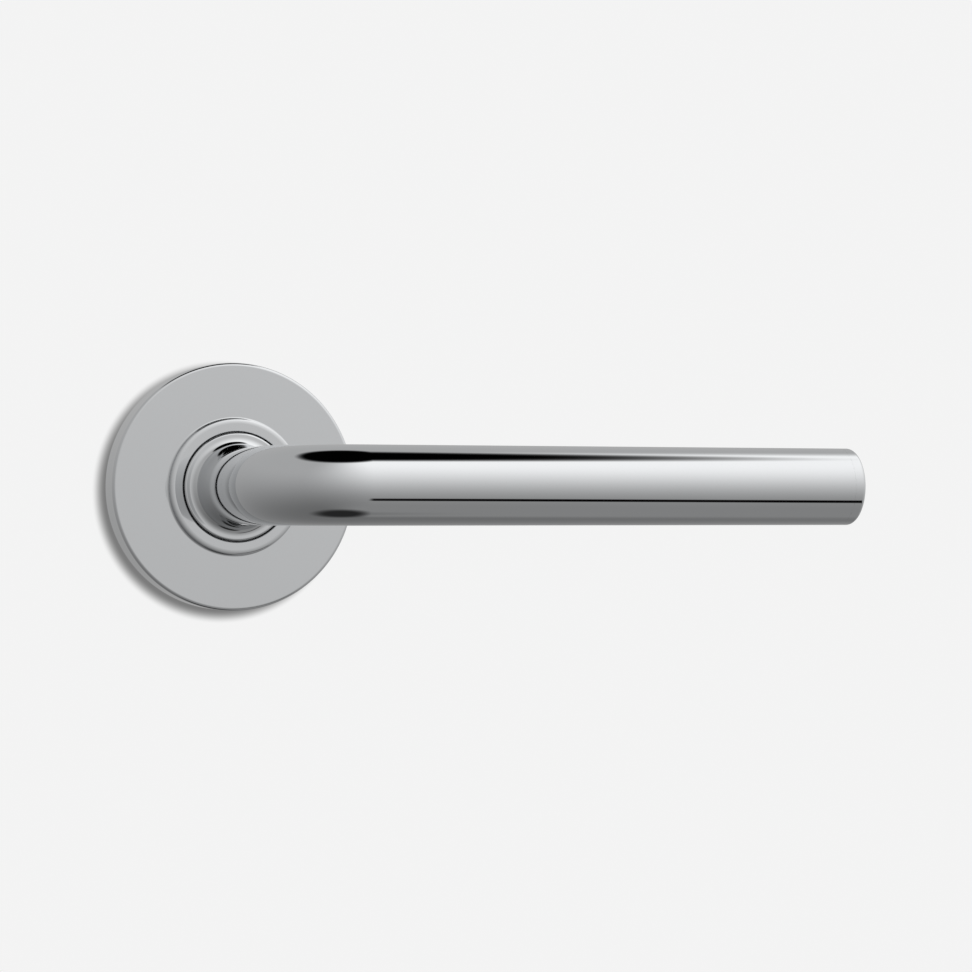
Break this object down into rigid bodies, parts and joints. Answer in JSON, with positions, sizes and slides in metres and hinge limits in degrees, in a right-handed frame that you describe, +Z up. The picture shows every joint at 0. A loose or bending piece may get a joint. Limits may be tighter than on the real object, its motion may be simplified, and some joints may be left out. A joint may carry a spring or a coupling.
{
  "type": "door lever handle",
  "caption": "Round bar door lever with a plain bent neck on a round rose, sprung to return level, with spindle and concealed door fixings.",
  "frame": {"origin": "on the turn axis, in the plane of the door's face, at the centre of the rose's back", "axes": "+Y along the turn axis into the door, +X along the bar of the lever at rest, +Z up"},
  "size_m": [0.1475, 0.1195, 0.052],
  "materials": {
    "polished_lever": "mirror-polished chrome plate",
    "polished_hub": "mirror-polished chrome plate",
    "polished_rose": "mirror-polished chrome plate",
    "black_steel": "black oxide",
    "zinc_plated_bar": "bright zinc plate",
    "zinc_plated_fixings": "bright zinc plate",
    "plain_steel": "pressed, bright",
    "spring_steel": "drawn, oiled",
    "zinc_casting": "as cast zinc alloy, fine grain",
    "nylon": "moulded",
    "washer_brass": "stamped",
    "screw_brass": "brassed steel",
    "rubber": "moulded"
  },
  "bodies": {
    "rose_base": {"mounting_plate": "zinc_casting", "bearing_bush": "nylon", "thrust_washer": "washer_brass", "return_spring": "spring_steel", "cover_grip_ring": "rubber", "through_bolt_left": "zinc_plated_fixings", "through_bolt_right": "zinc_plated_fixings", "bolt_sleeve_left": "zinc_plated_fixings", "bolt_sleeve_right": "zinc_plated_fixings", "wood_screw_1": "screw_brass", "wood_screw_2": "screw_brass", "wood_screw_3": "screw_brass", "wood_screw_4": "screw_brass"},
    "lever": {"lever_tube": "polished_lever", "lever_end_cap": "polished_lever", "neck_hub": "polished_hub", "grub_screw": "black_steel", "spindle": "zinc_plated_bar", "spring_driver": "plain_steel", "back_washer": "plain_steel", "circlip": "spring_steel"},
    "cover": {"rose_cover": "polished_rose"}
  },
  "joints": [
    {"name": "lever_turn", "type": "hinge", "parent": "rose_base", "child": "lever", "pos_m": [0, 0, 0], "axis": [0, 1, 0], "range_deg": [0, 50], "stiffness_Nm_per_rad": 0.35, "springref_deg": -28.65, "deforming": ["return_spring"]},
    {"name": "cover_slide", "type": "slide", "parent": "rose_base", "child": "cover", "axis": [0, -1, 0], "range_m": [0, 0.024]}
  ]
}
